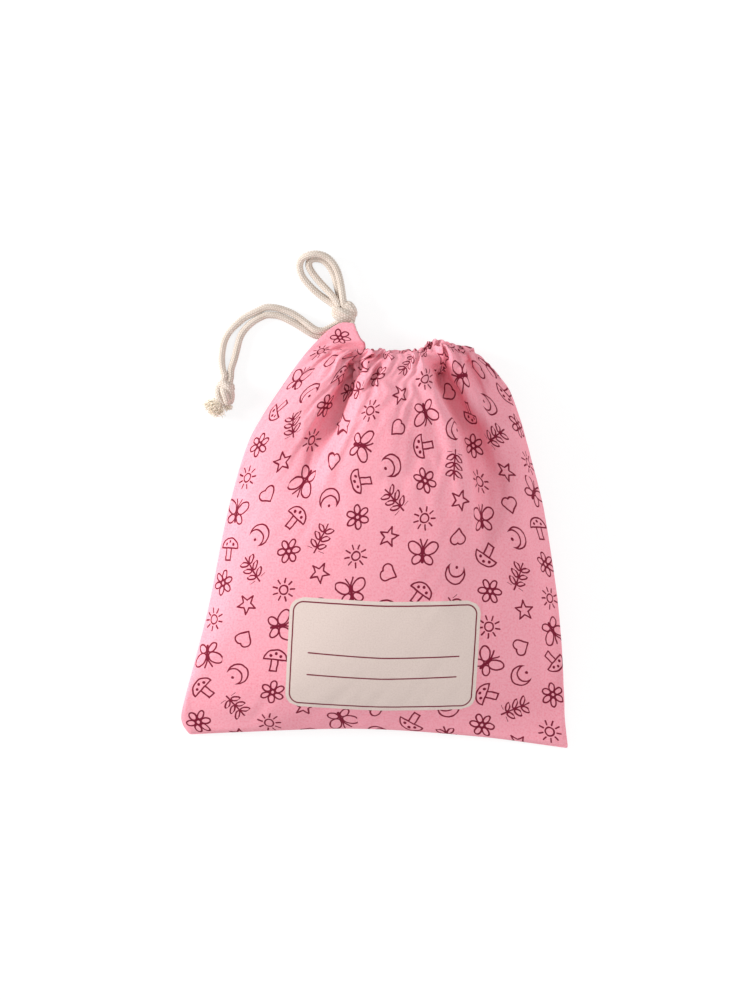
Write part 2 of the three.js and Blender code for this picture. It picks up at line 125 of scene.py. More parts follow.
# Slope along the middle of each panel: millimetres up the flat cloth, and degrees
front_slope = [
    (0, 58), (15, 46), (35, 30), (60, 19), (100, 9), (150, 1), (200, -6), (235, -17),
    (252, -36), (262, -55), (269, -88), (276, -150), (283, -182), (300, -190),
]
back_slope = [(0, -20), (20, -8), (50, 0), (264, 0), (271, 60), (279, 165), (300, 182)]
middle_start = (-0.1278, 0.006)
crest_y = 0.1195
shoulder_rise = 0.007

# Folds of the panels in millimetres: up the flat cloth, across it, depth, half width
front_folds = {
    "left_valley": [
        (155, 50, 0, 22), (182, 64, 10, 20), (203, 74, 17, 18), (228, 80, 21, 15), (250, 74, 19, 11),
        (272, 56, 12, 7), (300, 46, 8, 6),
    ],
    "right_valley": [
        (90, 196, 0, 24), (150, 197, 7, 20), (188, 194, 15, 19), (214, 184, 21, 16), (240, 166, 21, 13),
        (264, 149, 14, 8), (300, 142, 8, 6),
    ],
    "middle_pleat": [(218, 100, 0, 8), (242, 98, 8, 5), (300, 88, 9, 5)],
    "second_pleat": [(236, 86, 0, 6), (258, 82, 6, 5), (300, 72, 8, 5)],
    "ear_tuck": [(222, 16, 0, 9), (252, 26, 4, 6), (300, 30, 5, 5)],
    "shoulder_pleat": [(200, 222, 0, 16), (245, 212, 7, 11), (300, 204, 9, 7)],
}


def pleat(up, across, profile):
    """A fold from its places up and across the cloth, and its depth and half width at each."""
    return [(u, a, *shape) for u, a, shape in zip(up, across, profile)]


# Pleats of the back panel. A depth below 0 rises into the bag
side_pleat = ((0, 12), (-8, 9), (-10, 6), (-4, 5))
inner_pleat = ((0, 10), (-7, 8), (-9, 6), (-4, 5))
back_folds = {
    "back_left": pleat((60, 150, 240, 300), (40, 44, 50, 52), side_pleat),
    "back_left_middle": pleat((120, 180, 250, 300), (86, 87, 88, 89), inner_pleat),
    "back_middle": pleat((140, 200, 250, 300), (128, 128, 127, 126), inner_pleat),
    "back_right_middle": pleat((110, 180, 250, 300), (168, 167, 165, 163), inner_pleat),
    "back_right": pleat((60, 150, 240, 300), (212, 208, 203, 200), side_pleat),
}
steep_sides = {"left_valley": 1, "right_valley": -1}
steepening = 2.2
easing = 0.6
deepest_folds = 1.6
halvings = 24

# Gathers of the drawn mouth, and the stretches without any: the left seam, the middle and the right
gather_wave = 0.0128
gather_depth = 0.003
gather_zone = (0.234, 0.266)
quiet_left = (-0.05, -0.02)
quiet_middle = (0.119, 0.013)
quiet_right = (0.186, 0.204)

# Rim of each panel: its small waves, how far it reaches out, and the heights that it is held between.
# A zone is where a form starts, up or across the cloth, and where it is full
scallop = {"front": 0.0008, "back": 0.0013}
scallop_phase = 0.8
rim_reach = {"front": 0, "back": 0.0016}
rim_reach_zone = (0.12, 0.15)
rim_zone = (0.25, 0.262)
mouth_zone = (0.235, 0.275)
shoulder_zone = (0.15, 0.185)
ear_zone = (0.022, 0.045)
ear_fall = 0.017
outlet_gap = {"front": 0.0015, "back": -0.006}
outlet_reach = 0.03
outlet_zone = (0.27, 0.284)
mouth_height = {"front": (0.014, 0.06), "back": (0.0005, 0.0105)}
level_zone = (0.252, 0.268)
level_left = (0.01, 0.04)
level_right = (0.006, 0.03)
bottom_blend = 0.04
steepest_run = 0.03
softness = 0.0012
hem_turn = 0.27


def soft_limits(height, low, high):
    """Height held between two limits, rounded off near them."""
    height = low + softness * np.logaddexp(0, (height - low) / softness)
    return high - softness * np.logaddexp(0, (high - height) / softness)


def fold_depth(name, path, across, up):
    """Depth of one fold across the cloth at a height up it."""
    path = metres(path)
    centre = np.interp(up, path[:, 0], path[:, 1])
    depth = np.interp(up, path[:, 0], path[:, 2]) * smoothstep(up, path[0, 0], path[1, 0])
    width = np.interp(up, path[:, 0], path[:, 3])
    offset = (across - centre) / width
    steep = steep_sides.get(name, 0)
    offset *= np.where(offset * steep > 0, steepening, easing if steep else 1)
    return depth * np.exp(-(offset**2))


def middle_line(slopes, up):
    """Place (y, z) along the middle of a panel from its slope, with its crest drawn in to the mouth."""
    slopes = np.array(slopes, float)
    angle = np.radians(np.interp(up, slopes[:, 0] / 1000, slopes[:, 1]))
    step = np.diff(up, prepend=up[0])
    y = np.cumsum(np.cos(angle) * step)
    z = middle_start[1] + np.cumsum(np.sin(angle) * step)
    return middle_start[0] + y * (crest_y - middle_start[0]) / y.max(), z


def row_places(height, y, across):
    """Place across the bag of each point of a row, from what its slopes leave of the flat length."""
    slope = np.hypot(np.gradient(height, across), np.gradient(y, across))
    run = np.sqrt(np.maximum(1 - slope**2, steepest_run))
    return np.concatenate([[0], np.cumsum((run[1:] + run[:-1]) / 2 * np.diff(across))])


def panel_start(side, slopes, folds):
    """Grid of start points, rows from the bottom seam to the rim, close to the flat cloth's lengths."""
    across, up = flat_across, flat_up
    left = at_lengths(left_edge, up / panel_length)
    right = at_lengths(right_edge, up / panel_length)
    bottom = at_lengths(bottom_edge, across / panel_width)
    middle_y, middle_z = middle_line(slopes, up)
    share = across / panel_width
    roundness = (1 - np.abs(2 * share - 1) ** 2.4) ** 0.75
    falling = 1 - np.exp(-((across / ear_fall) ** 1.2))
    quiet = np.exp(-(((across - quiet_middle[0]) / quiet_middle[1]) ** 4))
    quiet += smoothstep(-across, *quiet_left) + smoothstep(across, *quiet_right)
    gathered = 1 - np.clip(quiet, 0, 1)
    phase = 2 * np.pi * across / gather_wave
    waves = np.cos(phase) * gather_depth * gathered
    rim_line = np.sin(phase + scallop_phase) * scallop[side]
    rim_line += rim_reach[side] * smoothstep(across, *rim_reach_zone)
    grid = np.zeros((rows + 1, columns + 1, 3))
    for j, q in enumerate(up):
        edge = mix(left[j], right[j], share[:, None])
        half = mix(left[j], right[j], 0.5)
        towards_mouth = smoothstep(q, *mouth_zone)
        across_y = mix(roundness, falling * (1 - share**9), towards_mouth)
        shoulder = shoulder_rise * smoothstep(across, *shoulder_zone) * towards_mouth
        past_ear = smoothstep(across, *ear_zone)
        curled = mix(max(middle_y[j], crest_y), middle_y[j], past_ear) if q > hem_turn else middle_y[j]
        y = edge[:, 1] + (curled + shoulder - edge[:, 1]) * across_y
        y = y + rim_line * gathered * smoothstep(q, *rim_zone) * (1 - share**6)
        z = edge[:, 2] + (middle_z[j] - half[2]) * roundness
        folded = sum(fold_depth(name, path, across, q) for name, path in folds.items())
        folded += waves * smoothstep(q, *gather_zone)
        folded *= np.sin(np.pi * share) ** 0.3
        width = right[j][0] - left[j][0]
        levelled = smoothstep(q, *level_zone) * smoothstep(across, *level_left)
        levelled *= smoothstep(panel_width - across, *level_right)

        def fold_row(strength):
            height = z - strength * folded
            height = mix(height, soft_limits(height, *mouth_height[side]), levelled)
            return height, row_places(height, y, across)

        low, high = 0.0, deepest_folds
        for _ in range(halvings):
            strength = (low + high) / 2
            _, x = fold_row(strength)
            if x[-1] > width:
                low = strength
            else:
                high = strength
        height, x = fold_row(low)
        outlet = outlet_gap[side] * np.exp(-((across / outlet_reach) ** 2)) * smoothstep(q, *outlet_zone)
        grid[j, :, 0] = left[j][0] + x * width / x[-1]
        grid[j, :, 1] = y
        grid[j, :, 2] = height + outlet
    near_bottom = 1 - smoothstep(up, 0, bottom_blend)[:, None, None]
    return grid + (bottom - grid[0]) * near_bottom


def link(obj):
    bpy.context.scene.collection.objects.link(obj)
    return obj


def mesh_object(name, points, faces):
    mesh = bpy.data.meshes.new(name)
    mesh.from_pydata([tuple(p) for p in points], [], [tuple(f) for f in faces])
    mesh.polygons.foreach_set("use_smooth", [True] * len(mesh.polygons))
    mesh.update()
    return link(bpy.data.objects.new(name, mesh))


def grid_numbers(shape):
    """Vertex numbers of a grid, row by row."""
    return np.arange(shape[0] * shape[1]).reshape(shape)


def grid_faces(index, turn):
    """Faces between the vertex numbers of a grid, turned over for a turn of -1."""
    corners = (index[:-1, :-1], index[:-1, 1:], index[1:, 1:], index[1:, :-1])[::turn]
    return np.stack([c.ravel() for c in corners], 1)


def joined_panels(front, back):
    """One mesh of both panels, sewn at the bottom and sides, with the vertex numbers of both grids."""
    size = (rows + 1, columns + 1)
    front_index = grid_numbers(size)
    sewn = np.zeros(size, bool)
    sewn[0] = True
    sewn[:, -1] = True
    sewn[flat_up <= panel_length - outlet_opening + 1e-6, 0] = True
    back_index = np.where(sewn, front_index, -1)
    back_index[~sewn] = front_index.size + np.arange((~sewn).sum())
    points = np.zeros((back_index.max() + 1, 3))
    points[back_index.ravel()] = back.reshape(-1, 3)
    points[front_index.ravel()] = front.reshape(-1, 3)
    faces = np.vstack([grid_faces(front_index, 1), grid_faces(back_index, -1)])
    return mesh_object("bag_cloth", points, faces), front_index, back_index


# Simulation of the filled cloth. A point moves only so far, and on the back, which rests on the floor,
# it rises by a small share of that
filling_pressure = 3.0
simulated_frames = 15
pinned_rim = 0.275
farthest_move = 0.004
resting_lift = 0.12


def simulate(obj, flat, pins, floor):
    """Blender's cloth simulation from the start shape, with the flat cloth's lengths at rest."""
    scene = bpy.context.scene
    obj.shape_key_add(name="Basis")
    key = obj.shape_key_add(name="Flat")
    key.data.foreach_set("co", flat.astype(np.float32).ravel())
    key.value = 0
    group = obj.vertex_groups.new(name="pins")
    group.add([int(i) for i in np.flatnonzero(pins)], 1, "REPLACE")
    floor.modifiers.new("Collision", "COLLISION")
    floor.collision.thickness_outer = 0.001
    floor.collision.cloth_friction = 8
    cloth = obj.modifiers.new("Cloth", "CLOTH")
    settings = cloth.settings
    settings.quality = 6
    settings.mass = 0.2
    settings.tension_stiffness = settings.compression_stiffness = 30
    settings.tension_damping = settings.compression_damping = 12
    settings.shear_stiffness = 12
    settings.shear_damping = 8
    settings.bending_stiffness = 2.5
    settings.bending_damping = 0.6
    settings.air_damping = 3
    settings.vertex_group_mass = "pins"
    settings.pin_stiffness = 2
    settings.rest_shape_key = key
    settings.use_pressure = True
    settings.uniform_pressure_force = filling_pressure
    settings.effector_weights.gravity = 0
    contact = cloth.collision_settings
    contact.collision_quality = 3
    contact.distance_min = 0.0012
    contact.use_self_collision = True
    contact.self_distance_min = 0.0011
    contact.self_friction = 3
    cloth.point_cache.frame_start = 1
    cloth.point_cache.frame_end = simulated_frames
    for number in range(1, simulated_frames + 1):
        scene.frame_set(number)
    settled = np.zeros(len(obj.data.vertices) * 3, np.float32)
    obj.evaluated_get(bpy.context.evaluated_depsgraph_get()).data.vertices.foreach_get("co", settled)
    obj.modifiers.remove(cloth)
    floor.modifiers.clear()
    obj.shape_key_clear()
    scene.frame_set(1)
    return settled.reshape(-1, 3).astype(float)


def grid_object(name, grid, flat_grid, outward):
    """A panel as its own mesh, with its flat-cloth place in metres kept as a UV map."""
    faces = grid_faces(grid_numbers(grid.shape[:2]), outward)
    obj = mesh_object(name, grid.reshape(-1, 3), faces)
    layer = obj.data.uv_layers.new(name="flat_cloth")
    layer.uv.foreach_set("vector", flat_grid.reshape(-1, 2)[faces.ravel()].astype(np.float32).ravel())
    return obj


# Floor
floor_half = 3.0
floor_corners = [(x * floor_half, y * floor_half, 0) for x, y in ((-1, -1), (1, -1), (1, 1), (-1, 1))]
floor = mesh_object("floor", floor_corners, [(0, 1, 2, 3)])

front_start = panel_start("front", front_slope, front_folds)
back_start = panel_start("back", back_slope, back_folds)
bag_cloth, front_index, back_index = joined_panels(front_start, back_start)
across_cloth, up_cloth = np.meshgrid(flat_across, flat_up)
flat_grid = np.dstack([across_cloth, up_cloth])
flat_points = np.zeros((len(bag_cloth.data.vertices), 3))
held = (up_cloth > pinned_rim) | (across_cloth == 0) | (across_cloth == panel_width) | (up_cloth == 0)
pins = np.zeros(len(flat_points), bool)
for index in (back_index, front_index):
    flat_points[index.ravel(), :2] = flat_grid.reshape(-1, 2)
    pins[index[held]] = True
started = np.array([v.co for v in bag_cloth.data.vertices])
settled = started
moved = simulate(bag_cloth, flat_points, pins, floor) - started
distance = np.linalg.norm(moved, axis=1, keepdims=True)
moved *= farthest_move * np.tanh(distance / farthest_move) / np.maximum(distance, 1e-9)
moved[back_index.ravel(), 2] *= resting_lift
settled = started + moved
bpy.data.objects.remove(bag_cloth)


# One round braided cotton cord, and the centrelines of its stretches
cord_diameter = 0.0045
cord_radius = cord_diameter / 2
routes = {
    "cord_lead_1": [
        (-0.02037, 0.13607, 0.00875), (-0.01862, 0.13033, 0.00875), (-0.01686, 0.1246, 0.00875),
        (-0.01511, 0.11886, 0.00875), (-0.01335, 0.11312, 0.00875),
    ],
    "cord_lead_2": [
        (-0.01578, 0.13748, 0.00875), (-0.01403, 0.13174, 0.00875), (-0.01227, 0.126, 0.00875),
        (-0.01052, 0.12026, 0.00875), (-0.00876, 0.11452, 0.00875),
    ],
    "cord_front_run": [
        (-0.00868, 0.11424, 0.00875), (-0.00802, 0.11209, 0.00875), (-0.00736, 0.10993, 0.00875),
        (-0.0015, 0.1072, 0.01402), (0.004, 0.1074, 0.0187), (0.009, 0.10773, 0.02045),
        (0.017, 0.10772, 0.02045), (0.029, 0.11126, 0.02045), (0.039, 0.1145, 0.02045),
        (0.046, 0.1142, 0.0185), (0.0515, 0.1133, 0.015), (0.0535, 0.1128, 0.01205),
    ],
    "cord_back_run": [
        (-0.01327, 0.11283, 0.00875), (-0.01261, 0.11068, 0.00875), (-0.01195, 0.10853, 0.00875),
        (-0.0105, 0.1036, 0.0074), (-0.005, 0.101, 0.00578), (0.002, 0.1022, 0.00416),
        (0.009, 0.10773, 0.00335), (0.017, 0.10772, 0.00335), (0.029, 0.11126, 0.00335),
        (0.042, 0.11524, 0.00335), (0.049, 0.1144, 0.00402), (0.0545, 0.11375, 0.00688),
        (0.056, 0.11375, 0.0095), (0.056, 0.11375, 0.01175),
    ],
    "loop_outer": [
        (-0.0238, 0.146, 0.006), (-0.0262, 0.148, 0.0052), (-0.029, 0.1502, 0.004),
        (-0.0328, 0.1528, 0.0028), (-0.0386, 0.1573, 0.0023), (-0.0444, 0.1632, 0.0023),
        (-0.0478, 0.1681, 0.0023), (-0.0492, 0.1739, 0.0024), (-0.0474, 0.1786, 0.0042),
        (-0.043, 0.181, 0.0067), (-0.0376, 0.1816, 0.0071), (-0.0322, 0.18, 0.0071),
        (-0.028, 0.1764, 0.0071), (-0.0249, 0.1714, 0.0071), (-0.023, 0.1656, 0.0072),
        (-0.0218, 0.1593, 0.008), (-0.0211, 0.1546, 0.009), (-0.0205, 0.1504, 0.0092),
        (-0.02, 0.1468, 0.0085),
    ],
    "loop_inner": [
        (-0.0226, 0.1474, 0.0078), (-0.0246, 0.1502, 0.0082), (-0.027, 0.1533, 0.0072),
        (-0.0306, 0.1576, 0.005), (-0.035, 0.1624, 0.003), (-0.0386, 0.1666, 0.0023),
        (-0.0415, 0.1706, 0.0023), (-0.0432, 0.1747, 0.0023), (-0.0418, 0.178, 0.0023),
        (-0.0376, 0.1788, 0.0023), (-0.0334, 0.1774, 0.0023), (-0.0299, 0.1739, 0.0023),
        (-0.027, 0.1687, 0.0023), (-0.0252, 0.1626, 0.0026), (-0.0238, 0.1567, 0.0034),
        (-0.023, 0.1525, 0.004), (-0.0222, 0.1488, 0.0048),
    ],
    "tail_upper": [
        (-0.0215, 0.14, 0.006), (-0.0232, 0.1377, 0.005), (-0.0258, 0.1356, 0.0046),
        (-0.0296, 0.1334, 0.005), (-0.034, 0.1317, 0.0055), (-0.0388, 0.1324, 0.0052),
        (-0.0438, 0.1359, 0.004), (-0.0493, 0.1401, 0.0027), (-0.0547, 0.1434, 0.0023),
        (-0.0612, 0.1459, 0.0023), (-0.0664, 0.147, 0.0023), (-0.0716, 0.1469, 0.0023),
        (-0.0772, 0.1444, 0.0023), (-0.0838, 0.1411, 0.0023), (-0.0887, 0.1374, 0.0023),
        (-0.0946, 0.1316, 0.0023), (-0.0979, 0.1258, 0.0023), (-0.0996, 0.119, 0.0023),
        (-0.1, 0.112, 0.0023), (-0.0993, 0.1064, 0.0028), (-0.09798, 0.10252, 0.004),
        (-0.09848, 0.0998, 0.0046), (-0.0986, 0.096, 0.005),
    ],
    "tail_lower": [
        (-0.0185, 0.1395, 0.004), (-0.019, 0.1366, 0.003), (-0.0212, 0.133, 0.0023),
        (-0.0258, 0.1298, 0.0023), (-0.0325, 0.1281, 0.0023), (-0.0388, 0.1288, 0.0023),
        (-0.0434, 0.131, 0.0023), (-0.0488, 0.1344, 0.0023), (-0.0546, 0.1378, 0.0023),
        (-0.0616, 0.1411, 0.0023), (-0.0664, 0.142, 0.0023), (-0.0713, 0.1419, 0.0023),
        (-0.0776, 0.1389, 0.0023), (-0.0822, 0.1354, 0.0023), (-0.0859, 0.1312, 0.0023),
        (-0.0883, 0.1266, 0.0023), (-0.09, 0.12, 0.0023), (-0.0917, 0.1134, 0.0023),
        (-0.0938, 0.1066, 0.0026), (-0.0942, 0.10134, 0.0036), (-0.095, 0.0978, 0.0044),
        (-0.096, 0.0945, 0.005),
    ],
}

# Knots: where each stands, and in millimetres from there its strands and the middle and radii of its
# plain core. The strands are a little thicker than the cord
slip_knot_centre = np.array([-0.02, 0.1438, 0])
slip_knot_strands = [
    [(-3.2, 4.6, 3.6), (-5.6, 2.6, 6), (-4.6, 1.2, 9), (-1.2, -0.4, 10.6), (2.2, -2.6, 10),
     (4.6, -4.4, 7.4), (4.4, -4.8, 4.2)],
    [(-4.2, 2.2, 3), (-5.9, -0.4, 5.2), (-4.9, -2.2, 8), (-2.2, -3.9, 8.8), (0.8, -5.2, 7.6),
     (2.6, -5.2, 4.4)],
    [(0.2, 2, 6.4), (0.9, 4.2, 8.6), (3.2, 4.4, 9.4), (5.2, 2, 8.8), (6, -0.9, 7.2), (4.6, -2.6, 5.4)],
    [(-2, 2.6, 5), (0.2, 1.8, 8.4), (2.6, 0.6, 8.8), (4.2, -1.2, 7.6), (3.6, -3, 4.6)],
]
slip_knot_core = ((-0.2, -0.4, 5.6), (5.6, 4.8, 4.6))
end_knot_centre = np.array([-0.0977, 0.0916, 0])
end_knot_strands = [
    [(-1.4, 6.6, 4.2), (-3.4, 4.4, 5.6), (-4.2, 0.8, 6.4), (-3.6, -3, 6), (-1.6, -6.2, 4.6), (-0.6, -7, 3)],
    [(-3.8, 3.6, 4), (-2.2, 5.6, 7.2), (0.8, 4.4, 9), (3.2, 1.8, 8.4), (4.1, -1.8, 6.6), (3.6, -5, 5),
     (2.6, -6.4, 3)],
    [(-1.6, 3.4, 6.8), (-0.6, 0.8, 8.8), (0.5, -2.4, 8.4), (1.4, -5.6, 6.6), (1.6, -7, 4)],
    [(2.6, 6, 4.6), (3.8, 4, 4.8), (4.2, 0.8, 4)],
]
end_knot_core = ((0.1, 0, 4.6), (3.9, 6.4, 3.8))
slip_knot_radius = 0.0026
end_knot_radius = 0.00235

# Braid of the cord: two families of strands that cross, five each way
strands = 5
strand_pitch = 0.0082
strand_relief = 0.00042
end_round = 0.0006
# Groove value given to a knot's hidden core, which paints it in shade
knot_core_shade = 0.7
ring_step = 0.0004
ring_points = 40


def unit(v):
    v = np.asarray(v, float)
    return v / np.maximum(np.linalg.norm(v, axis=-1, keepdims=True), 1e-12)


def tube_faces(rings, sides):
    """Faces of a closed tube: quads between its rings, and a cap at each end."""
    index = grid_numbers((rings, sides))
    around = np.roll(index, -1, axis=1)
    quads = np.stack([index[:-1].ravel(), index[1:].ravel(), around[1:].ravel(), around[:-1].ravel()], 1)
    return [tuple(q) for q in quads] + [tuple(index[0]), tuple(index[-1][::-1])]


def braided_surface(points, radius=cord_radius):
    """Vertices, faces, depth of the grooves and ring centres of a tube with a braided surface."""
    line = smooth_line(points, 1200)
    length = np.linalg.norm(np.diff(line, axis=0), axis=1).sum()
    rings = int(length / ring_step) + 1
    centres = at_lengths(line, np.linspace(0, 1, rings))
    tangents = unit(np.gradient(centres, axis=0))
    side = unit(np.cross(tangents[0], (0.12, 0.05, 1)))
    angle = np.linspace(0, 2 * np.pi, ring_points, endpoint=False)
    along = np.linspace(0, length, rings)[:, None]
    twist = 2 * np.pi * along / strand_pitch
    first = 0.5 + 0.5 * np.cos(strands * (angle + twist))
    second = 0.5 + 0.5 * np.cos(strands * (angle - twist))
    over = smoothstep(np.cos(strands * angle), -0.35, 0.35)
    relief = mix(second, first, over) ** 0.7
    seam = np.abs(np.cos(strands * angle)) ** 0.5
    surface = radius + strand_relief * (relief * seam - 0.55)
    from_end = np.minimum(along, length - along)
    surface *= np.sqrt(np.clip(from_end / end_round, 0.05, 1))
    vertices = np.zeros((rings, ring_points, 3))
    for i in range(rings):
        side = unit(side - tangents[i] * side.dot(tangents[i]))
        other = np.cross(tangents[i], side)
        ring = np.cos(angle)[:, None] * side + np.sin(angle)[:, None] * other
        vertices[i] = centres[i] + ring * surface[i][:, None]
    groove = 1 - np.clip(relief * seam, 0, 1)
    return vertices.reshape(-1, 3), tube_faces(rings, ring_points), groove.ravel(), centres


def ball_surface(centre, radii, steps=20):
    """Vertices, faces and a fixed painted shade of a plain ellipsoid, the hidden middle of a knot: a groove
    value that the cord's material paints dark.
    """
    tilt = np.linspace(0.02, np.pi - 0.02, steps)[:, None]
    turn = np.linspace(0, 2 * np.pi, 2 * steps, endpoint=False)
    ball = np.stack(np.broadcast_arrays(
        np.sin(tilt) * np.cos(turn), np.sin(tilt) * np.sin(turn), np.cos(tilt)), 2)
    points = centre + ball.reshape(-1, 3) * radii
    return points, tube_faces(steps, 2 * steps), np.full(len(points), knot_core_shade)


def braided_object(name, surfaces):
    """One object from several surfaces, with the depth of the grooves kept on its points, which the cord's
    material paints as shade.
    """
    vertices, faces, groove = [], [], []
    count = 0
    for surface in surfaces:
        vertices.append(surface[0])
        faces += [tuple(number + count for number in face) for face in surface[1]]
        groove.append(surface[2])
        count += len(surface[0])
    obj = mesh_object(name, np.vstack(vertices), faces)
    attribute = obj.data.attributes.new("groove", "FLOAT", "POINT")
    attribute.data.foreach_set("value", np.concatenate(groove).astype(np.float32))
    return obj


def knot_object(name, centre, strand_paths, core, radius):
    """A tied knot: the strands that show, laid over its hidden middle."""
    surfaces = [braided_surface(centre + metres(path), radius) for path in strand_paths]
    surfaces.append(ball_surface(centre + metres(core[0]), metres(core[1])))
    return braided_object(name, surfaces)


def hold_clear(grid, line, side, layer, reach=0.0062, gap=0.0034):
    """Keep one layer of cloth above (side 1) or below (side -1) a cord, draped round it."""
    chosen = grid[layer]
    flat = chosen.reshape(-1, 3)
    offset = flat[:, None, :2] - line[:, :2]
    distance = np.linalg.norm(offset, axis=2)
    nearest = distance.argmin(axis=1)
    distance = distance[np.arange(len(flat)), nearest]
    drape = np.sqrt(np.clip(1 - (distance / reach) ** 2, 0, 1))
    wanted = line[nearest, 2] + side * gap * drape
    clear = side * np.maximum(side * flat[:, 2], side * wanted)
    flat[:, 2] = np.where(distance < reach, clear, flat[:, 2])
    grid[layer] = flat.reshape(chosen.shape)


# The cloth as settled, with each hem's two layers kept clear of the cord between them
front_grid = settled[front_index]
back_grid = settled[back_index]
rim_fold = 0.276
hem_row = int(round(rim_fold / panel_length * rows))
all_rows = slice(0, rows + 1)
outer_rows = slice(0, hem_row)
inner_rows = slice(hem_row + 1, rows + 1)
lines = {name: at_lengths(smooth_line(points), np.linspace(0, 1, 160)) for name, points in routes.items()}
hem_entry = 26
front_run_end = 0.045
lowest_cloth = 0.0006
inside_front = lines["cord_front_run"][hem_entry:]
inside_front = inside_front[inside_front[:, 0] < front_run_end]
inside_back = lines["cord_back_run"][hem_entry:]
for lead in ("cord_lead_1", "cord_lead_2"):
    hold_clear(front_grid, lines[lead], 1, all_rows)
    hold_clear(back_grid, lines[lead], -1, all_rows)
hold_clear(front_grid, inside_front, 1, outer_rows, gap=0.0046)
hold_clear(front_grid, inside_front, -1, inner_rows)
hold_clear(back_grid, inside_back, 1, inner_rows)
hold_clear(back_grid, inside_back, -1, outer_rows, gap=0.0029)
back_grid[..., 2] = np.maximum(back_grid[..., 2], lowest_cloth)
for column, sewn_rows in ((0, outer_rows), (columns, all_rows)):
    middle = (front_grid[sewn_rows, column] + back_grid[sewn_rows, column]) / 2
    front_grid[sewn_rows, column] = middle
    back_grid[sewn_rows, column] = middle

front_cloth = grid_object("front_cloth", front_grid, flat_grid, 1)
back_cloth = grid_object("back_cloth", back_grid, flat_grid, -1)


strip_rows = 9
strip_end = 0.28
strip_inset = 0.0007
strip_bulge = 0.0048
seam_width = 0.008
seam_start = 0.06
seam_points = 5


def layer_normals(grid, outward):
    """Unit normals of a grid, pointing out of the bag."""
    along = np.gradient(grid, axis=0)
    across = np.gradient(grid, axis=1)
    return outward * unit(np.cross(across, along))


def strip_object(name, grid, outward):
    """Inner layer of a hem: from the cut edge back to the rim, on the inside of the panel."""
    normals = layer_normals(grid, outward)
    across = slice(3, columns - 2)
    layers = []
    for share in np.linspace(0, 1, strip_rows):
        row = mix(rows, hem_row + 1, share)
        low = int(np.floor(row))
        high = min(low + 1, rows)
        point = mix(grid[low, across], grid[high, across], row - low)
        normal = unit(mix(normals[low, across], normals[high, across], row - low))
        inward = strip_inset + strip_bulge * np.sin(np.pi * share) ** 0.8
        layers.append(point - normal * inward)
    flat = np.dstack(np.meshgrid(flat_across[across], np.linspace(panel_length, strip_end, strip_rows)))
    return grid_object(name, np.array(layers), flat, -outward)


def seam_object(name, edge, inward):
    """Seam allowance turned inside the bag, a ribbon along an edge."""
    shares = np.linspace(seam_start, 1, seam_points)
    strip = np.array([edge + unit(inward) * seam_width * share for share in shares])
    flat = np.dstack(np.meshgrid(
        np.linspace(0, panel_length, strip.shape[1]), np.linspace(0, seam_width, seam_points)))
    return grid_object(name, strip, flat, 1)


def thicken(obj, thickness, level):
    solid = obj.modifiers.new("Solidify", "SOLIDIFY")
    solid.thickness = thickness
    solid.offset = -1
    solid.use_even_offset = False
    if level:
        rounded = obj.modifiers.new("Subdivision", "SUBSURF")
        rounded.levels = rounded.render_levels = level


seam_rows = slice(2, hem_row)
seams = [
    seam_object("left_seam_allowance", front_grid[seam_rows, 0], (1, 0, 0.02)),
    seam_object("right_seam_allowance", front_grid[seam_rows, columns], (-1, 0, 0.02)),
    seam_object("bottom_seam_allowance", front_grid[0, 2:columns - 1], (0, 1, 0.1)),
]
front_hem_strip = strip_object("front_hem_layer", front_grid, 1)
back_hem_strip = strip_object("back_hem_layer", back_grid, -1)

# Name label, laid on the front panel where the photograph shows it
label_centre = (0.005, -0.0775)
label_size = (0.123, 0.071)
label_turn = math.radians(-1.2)
label_corner = 0.0088
label_lean = 0.035
label_sag = (0.0019, 0.0034)
label_lift = 0.0003
label_steps = (62, 36)


def label_object(cloth):
    """A thin patch with round corners that follows the cloth under it."""
    tree = BVHTree.FromPolygons(
        [v.co for v in cloth.data.vertices], [face.vertices[:] for face in cloth.data.polygons])
    cosine, sine = math.cos(label_turn), math.sin(label_turn)
    half = np.array(label_size) / 2
    across = np.linspace(-half[0], half[0], label_steps[0] + 1)
    upwards = np.linspace(-half[1], half[1], label_steps[1] + 1)
    grid = np.zeros((len(upwards), len(across), 3))
    flat = np.zeros((len(upwards), len(across), 2))
    for j, v in enumerate(upwards):
        for i, u in enumerate(across):
            inside = min(max(abs(v) - (half[1] - label_corner), 0) / label_corner, 1)
            shrink = half[0] - label_corner * (1 - math.sqrt(max(1 - inside**2, 0)))
            local = (u * shrink / half[0], v)
            sag = mix(label_sag[1], label_sag[0], (v / half[1]) ** 2) * (1 - abs(u / half[0]) ** 1.4)
            x = label_centre[0] + local[0] * cosine - local[1] * (sine - label_lean)
            y = label_centre[1] + local[0] * sine + local[1] * cosine - sag
            hit = tree.ray_cast((x, y, 0.2), (0, 0, -1))
            grid[j, i] = hit[0] + hit[1] * (label_lift if hit[1].z > 0 else -label_lift)
            flat[j, i] = local
    return grid_object("label_patch", grid, flat, 1)


label_patch = label_object(front_cloth)


yarn_radius = 0.00024
yarn_swing = 0.12
lowest_yarn = 0.0004


